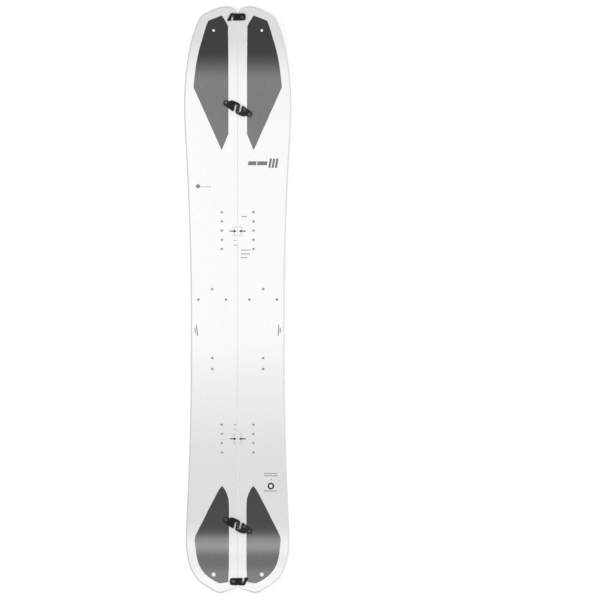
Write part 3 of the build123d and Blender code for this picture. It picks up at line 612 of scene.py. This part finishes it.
def ring(name, side, profile, mat, body):
    """A closed band round the half: profile is a list of (inset, seam inset, z function of (y, weight))."""
    s = 1 if side == "right" else -1
    seam_y = np.concatenate([np.linspace(SEAM_Y0, -640, 24)[1:], np.linspace(-640, 600, 150)[1:], np.linspace(600, SEAM_Y1, 30)[1:-1]])
    loops = []
    for inset, seam_inset, zf in profile:
        p = inset_line(inset, seam_inset)
        w = W
        sx = np.full(len(seam_y), p[0, 0])
        q = np.concatenate([p, np.stack([sx, seam_y], 1)])
        ww = np.concatenate([w, np.zeros(len(seam_y))])
        z = zf(q[:, 1], ww)
        loops.append(np.stack([s * q[:, 0], q[:, 1], z], 1))
    n, m = len(loops[0]), len(loops)
    verts = np.stack(loops, 1).reshape(-1, 3)
    f = []
    for i in range(n):
        k = (i + 1) % n
        for j in range(m):
            l = (j + 1) % m
            f.append((i * m + j, i * m + l, k * m + l, k * m + j))
    return new_object(name, verts, f, mat, body, angle=28)


def bevel_low(y, w):
    lo, hi = ZB2(y), ZT2(y)
    return lo + (hi - lo) * (1 - 0.06 - 0.62 * w)


def liner(name, side, x, y, r, body):
    """The punched wall of a tip hole: a thin sleeve of spacer plastic between base and topsheet."""
    s = 1 if side == "right" else -1
    n = 48
    a = np.arange(n) * 2 * math.pi / n
    loops = []
    for rr, zf in ((r + 0.02, ZB1), (r + 0.02, ZT1), (r + 1.6, ZT1), (r + 1.6, ZB1)):
        px, py = x + rr * np.cos(a), y + rr * np.sin(a)
        off = 0.03 if zf is ZB1 else -0.03
        loops.append(np.stack([s * px, py, zf(py) + off], 1))
    verts = np.stack(loops, 1).reshape(-1, 3)
    f = [(i * 4 + j, i * 4 + (j + 1) % 4, ((i + 1) % n) * 4 + (j + 1) % 4, ((i + 1) % n) * 4 + j) for i in range(n) for j in range(4)]
    return new_object(name, verts, f, M_WALL, body)


def side_sign(side):
    return 1 if side == "right" else -1


PX = 2.7608


def half_rows(rows):
    """(row, outer column, inner column) down the left view to y, x_out and x_in in millimetres."""
    r = np.array(rows, float)
    y = (299.6 - r[:, 0]) * PX
    return y[::-1], ((237.7 - r[:, 1]) * PX)[::-1], ((237.7 - r[:, 2]) * PX)[::-1]


NOSE_PANEL = [
    (15.6, 221.3, 221.9), (16.0, 220.3, 222.2), (17.0, 217.6, 222.8), (18.0, 215.1, 223.4), (19.0, 212.4, 224.1), (20.0, 209.9, 224.8), (20.6, 208.5, 225.1), (21.4, 207.9, 225.6),
    (22.5, 207.5, 226.3), (24.0, 206.9, 227.1), (25.4, 206.3, 227.8), (26.2, 206.1, 228.0), (28, 205.5, 228.1), (32, 204.3, 228.1), (36, 203.1, 228.1), (40, 202.0, 228.2), (45, 200.4, 228.2),
    (50, 199.1, 228.3), (55, 197.9, 228.3), (60, 196.9, 228.4), (66, 195.9, 228.4), (72, 195.1, 228.4), (78, 194.4, 228.4), (84, 193.8, 228.4), (87.2, 193.5, 228.4),
    (88.0, 193.8, 228.4), (134.0, 214.4, 228.4), (149.6, 221.4, 222.0), (149.9, 221.7, 221.8),
]
TAIL_PANEL = [
    (486, 222.0, 222.2), (489, 219.4, 224.7), (494, 216.6, 227.0), (499, 214.0, 228.5), (504, 211.4, 228.9), (509, 208.8, 229.0),
    (514, 206.3, 229.0), (519, 203.9, 229.0), (524, 201.3, 229.0), (529, 198.7, 229.0), (534, 196.2, 229.0), (537, 195.0, 229.0),
    (540, 194.7, 229.0), (544, 195.0, 229.0), (549, 195.6, 229.0), (554, 196.2, 228.9), (559, 197.2, 228.9), (564, 198.7, 228.9),
    (569, 201.1, 228.9), (574, 205.0, 228.6), (577, 208.4, 228.5), (579, 211.2, 228.4), (581, 214.6, 228.3), (582.0, 216.6, 228.2), (582.6, 217.7, 225.6), (583.4, 219.7, 220.4),
]


def panel(name, side, rows, body, lift=0.02, thick=0.05):
    y, xo, xi = half_rows(rows)
    fine = np.unique(np.concatenate([y, np.arange(y[0], y[-1], 3.0)]))

    def f_in(v):
        return np.interp(v, y, xi)

    def f_out(v):
        return np.interp(v, y, xo)

    top, low = curve(True, lift + thick), curve(True, -0.03)
    ob = slab(name, side, f_in, f_out, fine, low, top, [M_DARK], body, cols=9)
    return ob


def patch(name, polys, mat, body, zf=None, lift=0.05, low=-0.03, top=True):
    """Printed marks: thin closed shapes lying on the surface, from polygons in millimetres on the board's own axes."""
    verts, faces, k = [], [], 0
    hi, lo = curve(top, lift), curve(top, low)
    for poly in polys:
        p = np.array(poly, float)
        n = len(p)
        verts += [(x, y, float(hi(y))) for x, y in p] + [(x, y, float(lo(y))) for x, y in p]
        faces.append(tuple(range(k, k + n)))
        faces.append(tuple(range(k + 2 * n - 1, k + n - 1, -1)))
        for i in range(n):
            j = (i + 1) % n
            faces.append((k + i, k + n + i, k + n + j, k + j))
        k += 2 * n
    return new_object(name, verts, faces, mat, body, angle=20)


def rect(x0, y0, x1, y1):
    return [(x0, y0), (x1, y0), (x1, y1), (x0, y1)]


def disc(cx, cy, r, n=36, a0=0.0, a1=2 * math.pi):
    return [(cx + r * math.cos(a0 + (a1 - a0) * i / n), cy + r * math.sin(a0 + (a1 - a0) * i / n)) for i in range(n)]


def arc_band(cx, cy, r0, r1, a0, a1, n=18):
    t = np.linspace(a0, a1, n)
    return [(cx + r1 * math.cos(a), cy + r1 * math.sin(a)) for a in t] + [(cx + r0 * math.cos(a), cy + r0 * math.sin(a)) for a in t[::-1]]


def at(px, py):
    return ((px - 237.7) * PX, (299.6 - py) * PX)


for side in ("left", "right"):
    body = side + "_half"
    s = side_sign(side)
    tips = [(s * x, y, r) for x, y, r in HOLE_TIPS]
    inserts = [(s * x, y, r) for x, y, r in INSERT_HOLES]

    xi, xo, lo, hi = spans(TOP_INSET, SEAM_INSET)
    top = slab(side + "_topsheet_skin", side, xi, xo, stations(lo, hi), ZT1, ZT0, [M_TOP], body)
    punch(top, tips + inserts)
    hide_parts(side + "_topsheet")

    xi, xo, lo, hi = spans(TOP_INSET - 0.05, SEAM_INSET - 0.02)
    lam = slab(side + "_upper_glass", side, xi, xo, stations(lo, hi, 12), ZT2, ZT1, [M_LAM], body, cols=3)
    punch(lam, tips + inserts)
    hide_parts(side + "_upper_laminate")

    xi, xo, lo, hi = spans(0.12)
    lam = slab(side + "_lower_glass", side, xi, xo, stations(lo, hi, 12), ZB1, ZB2, [M_LAM], body, cols=3)
    punch(lam, tips)
    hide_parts(side + "_lower_laminate")

    xi, xo, lo, hi = spans(EDGE_W)
    base = slab(side + "_running_base", side, xi, xo, stations(lo, hi), ZB0, ZB1, [M_BASE], body)
    punch(base, tips)
    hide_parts(side + "_base_sheet")

    edge = ring(side + "_edge_rail", side, [
        (EDGE_W, EDGE_W, lambda y, w: ZB0(y)),
        (0.22, 0.22, lambda y, w: ZB0(y)),
        (0.0, 0.0, lambda y, w: ZB0(y) + 0.22),
        (0.0, 0.0, lambda y, w: ZB1(y)),
        (EDGE_W, EDGE_W, lambda y, w: ZB1(y)),
    ], M_STEEL, body)
    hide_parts(side + "_steel_edge")

    wall = ring(side + "_sidewall_band", side, [
        (WALL_W, WALL_W, lambda y, w: ZB2(y)),
        (0.0, 0.0, lambda y, w: ZB2(y)),
        (0.0, 0.0, bevel_low),
        (0.18, 0.10, lambda y, w: bevel_low(y, w) + 0.22),
        (TOP_INSET - 0.25, SEAM_INSET - 0.15, lambda y, w: ZT2(y) - 0.06),
        (TOP_INSET, SEAM_INSET, lambda y, w: ZT2(y)),
        (WALL_W + 0.5, WALL_W + 0.5, lambda y, w: ZT2(y)),
    ], M_WALL, body)
    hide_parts(side + "_outer_sidewall", side + "_inner_sidewall", side + "_nose_spacer", side + "_tail_spacer")
    for tag, (x, y, r) in zip(("nose", "tail"), HOLE_TIPS):
        liner(f"{side}_{tag}_hole_wall", side, x, y, r, body)

    ob = panel(side + "_nose_print", side, NOSE_PANEL, body)
    punch(ob, tips[:1])
    ob = panel(side + "_tail_print", side, TAIL_PANEL, body)
    punch(ob, tips[1:])

    # waist marks near each outer edge: a long slanted bar and a short one outside it
    long_bar = [(109.8, -99.6), (113.0, -99.6), (114.8, -69.5), (112.4, -69.5)]
    short_bar = [(115.6, -91.8), (118.2, -91.8), (119.4, -78.0), (116.8, -78.0)]
    patch(side + "_waist_print", [[(s * x, y) for x, y in q] for q in (long_bar, short_bar)], M_INK_MID, body)

# stance marks beside the seam: an arrow towards the seam, a dial ring and two short bars
for tag, row, k in (("front", 231.1, -1), ("rear", 438.8, 1)):
    cy = at(0, row)[1]
    for side in ("left", "right"):
        s = side_sign(side)
        arrow = [(s * 3.0, cy), (s * 10.6, cy + 4.4), (s * 10.6, cy + 1.5), (s * 22.5, cy + 1.5), (s * 22.5, cy - 1.5), (s * 10.6, cy - 1.5), (s * 10.6, cy - 4.4)]
        patch(f"{side}_{tag}_stance_arrow", [arrow], M_INK, side + "_half", lift=0.055)
        dial = []
        for a0, a1 in ((-1.42, -0.42), (0.42, 1.42)):
            dial.append([(s * x, y + cy) for x, y in arc_band(0, 0, 12.6, 14.0, a0, a1)])
        for a in (-1.05, -0.7, 0.7, 1.05):
            c, d, t = math.cos(a), math.sin(a), 0.6
            dial.append([(s * (15 * c - t * d), cy + 15 * d + t * c), (s * (19 * c - t * d), cy + 19 * d + t * c),
                         (s * (19 * c + t * d), cy + 19 * d - t * c), (s * (15 * c + t * d), cy + 15 * d - t * c)])
        if side == "left":
            dial += [rect(-11.8, cy + k * 25.6 - 1.3, -2.0, cy + k * 25.6 + 1.3), rect(-11.8, cy + k * 38.8 - 1.3, -2.0, cy + k * 38.8 + 1.3)]
        patch(f"{side}_{tag}_stance_dial", dial, M_INK_LIGHT, side + "_half")

# plain bars where the topsheet carries small print; no lettering
bars = []
x0, y0 = at(247.8, 165.2)
for xa, w in ((x0, 23.0), (x0 + 25.5, 27.5)):
    bars.append([(xa, y0), (xa + w, y0), (xa + w + 1.8, y0 + 10.6), (xa + 1.8, y0 + 10.6)])
for i in range(3):
    xa = x0 + 56.5 + 9.0 * i
    bars.append([(xa, y0 - 7.5), (xa + 6.0, y0 - 7.5), (xa + 10.5, y0 + 18.5), (xa + 4.5, y0 + 18.5)])
patch("right_bar_print", bars, M_INK_SOFT, "right_half")
bars = []
for k, py in enumerate((250.1, 253.9, 257.7)):
    x1, y1 = at((241.1, 241.1, 240.6)[k], py)
    w = (26.5, 26.0, 19.5)[k]
    for i in range(4):
        bars.append(rect(x1 + w * i / 4, y1 - 1.25, x1 + w * (i + 0.88) / 4, y1 + 1.25))
x1, y1 = at(244.2, 216.6)
bars += [rect(x1 - 6.6, y1 - 1.3, x1 - 0.4, y1 + 1.3), rect(x1 + 0.4, y1 - 1.3, x1 + 6.6, y1 + 1.3)]
for py, w in ((473.4, 37), (475.7, 40)):
    x1, y1 = at(264.0, py)
    for i in range(5):
        bars.append(rect(x1 + w * i / 5, y1 - 1.2, x1 + w * (i + 0.86) / 5, y1 + 1.2))
x1, y1 = at(263.8, 491.0)
for i in range(4):
    bars.append(rect(x1 + 38 * i / 4, y1 - 1.3, x1 + 38 * (i + 0.88) / 4, y1 + 1.3))
x1, y1 = at(271.0, 479.4)
bars.append(disc(x1, y1, 1.7, 20))
patch("right_small_print", bars, M_INK_MID, "right_half")
cx, cy = at(270.9, 486.1)
emblem = [disc(cx, cy, 9.4, 48)]
patch("right_round_print", emblem, M_INK, "right_half", lift=0.055)
inner = disc(cx, cy, 4.6, 36)
patch("right_round_print_core", [inner], print_material("print_reversed_white", 232), "right_half", lift=0.075)
x1, y1 = at(195.8, 188.6)
patch("left_corner_print", [[(x1, y1 + 4.0), (x1 + 6.0, y1), (x1 + 12.4, y1 + 4.0), (x1 + 12.4, y1 + 9.0), (x1 + 6.0, y1 + 13.0), (x1, y1 + 9.0)]], M_INK_MID, "left_half")
x1, y1 = at(200.8, 187.0)
patch("left_small_print", [rect(x1 + 7.3 * i, y1 - 1.4, x1 + 7.3 * i + 6.2, y1 + 2.6) for i in range(4)], M_INK_FAINT, "left_half")

# underside: a generic green device of three slanted bars on one half
gx, gy = 72.0, 637.0
device = [[(gx - 46 + 32 * i, gy - 36), (gx - 26 + 32 * i, gy - 36), (gx - 6 + 32 * i, gy + 36), (gx - 26 + 32 * i, gy + 36)] for i in range(3)]


def base_patch(name, polys, mat, body):
    """Printed marks on the underside, cut into rows so that they follow the bend."""
    verts, faces, k = [], [], 0
    base = curve(False, 0.0)

    def lo(y):
        z = float(base(y))
        return z - min(0.05, max(0.004, 0.3 * z))

    for p in polys:
        (ax, ay), (bx, by), (cx_, cy_), (dx, dy) = p
        n = 24
        for i in range(n + 1):
            t = i / n
            for x, y in ((ax + (dx - ax) * t, ay + (dy - ay) * t), (bx + (cx_ - bx) * t, by + (cy_ - by) * t)):
                verts += [(x, y, float(lo(y))), (x, y, float(lo(y)) + 0.3)]
        for i in range(n):
            a, b = k + 4 * i, k + 4 * (i + 1)
            faces += [(a, a + 2, b + 2, b), (a + 1, b + 1, b + 3, a + 3), (a, b, b + 1, a + 1), (a + 2, a + 3, b + 3, b + 2)]
        faces += [(k, k + 1, k + 3, k + 2), (k + 4 * n, k + 4 * n + 2, k + 4 * n + 3, k + 4 * n + 1)]
        k += 4 * (n + 1)
    return new_object(name, verts, faces, mat, body, angle=30)


base_patch("right_base_device", device, M_GREEN, "right_half")

# ------------------------------------------------------------------ CAD pieces that stay, with their finish
for n, ob in NODES.items():
    if n.endswith("wood_core"):
        paint(ob, M_WOOD)
    elif n.endswith("latch_inserts") or n.endswith("_inserts"):
        paint(ob, M_INSERT)
    elif n.endswith("washer") or n.endswith("shim"):
        paint(ob, M_NYLON)
    elif "screw" in n or n.endswith("post"):
        paint(ob, M_SCREW)
    elif n.endswith("catch"):
        paint(ob, M_CATCH)
    elif n.endswith("hook"):
        paint(ob, M_PLATE)

# ------------------------------------------------------------------ floor, light and camera
floor = bpy.data.meshes.new("studio_floor")
fw, fd = 40.0, 20.0
floor.from_pydata([(sx * fw, sy * fw, z) for z in (-0.0006, -fd) for sx, sy in ((-1, -1), (1, -1), (1, 1), (-1, 1))], [],
                  [(0, 1, 2, 3), (7, 6, 5, 4), (0, 4, 5, 1), (1, 5, 6, 2), (2, 6, 7, 3), (3, 7, 4, 0)])
floor_ob = bpy.data.objects.new("studio_floor", floor)
bpy.context.scene.collection.objects.link(floor_ob)
fm = Mat("floor_pale", grey(150), 0.95, spec=0.1)
fm.color(fm.mix(grey(152), grey(148), fm.noise(2.0, 3, 0.5)))
fm.bsdf.inputs["Emission Color"].default_value = (1, 1, 1, 1)
fm.bsdf.inputs["Emission Strength"].default_value = 0.80
floor.materials.append(fm.m)
under = Mat("floor_block_white", grey(252), 0.95, spec=0.0)
under.bsdf.inputs["Emission Color"].default_value = (1, 1, 1, 1)
under.bsdf.inputs["Emission Strength"].default_value = 1.0
floor.materials.append(under.m)
for poly in list(floor.polygons)[1:]:
    poly.material_index = 1

world = bpy.data.worlds.new("studio")
bpy.context.scene.world = world
world.use_nodes = True
world.node_tree.nodes["Background"].inputs["Color"].default_value = (1, 1, 1, 1)
world.node_tree.nodes["Background"].inputs["Strength"].default_value = 0.66


def area(name, loc, size, power, target=(0, 0, 0)):
    li = bpy.data.lights.new(name, "AREA")
    li.shape, li.size, li.energy = "SQUARE", size, power
    ob = bpy.data.objects.new(name, li)
    ob.location = loc
    ob.rotation_euler = (Vector(target) - Vector(loc)).to_track_quat("-Z", "Y").to_euler()
    bpy.context.scene.collection.objects.link(ob)
    return ob


area("key_softbox", (-1.6, 0.6, 3.2), 2.2, 46)
area("fill_softbox", (1.8, -1.4, 2.6), 2.4, 20)

cam = bpy.data.cameras.new("camera")
cam.type = "ORTHO"
cam.ortho_scale = 600 * PX * MM
cam.clip_end = 50
cam_ob = bpy.data.objects.new("camera", cam)
bpy.context.scene.collection.objects.link(cam_ob)
cam_ob.location = ((300 - 237.7) * PX * MM, -(300 - 299.6) * PX * MM, 4.0)
cam_ob.rotation_euler = (0, 0, 0)
bpy.context.scene.camera = cam_ob
bpy.context.scene.view_settings.view_transform = "Standard"
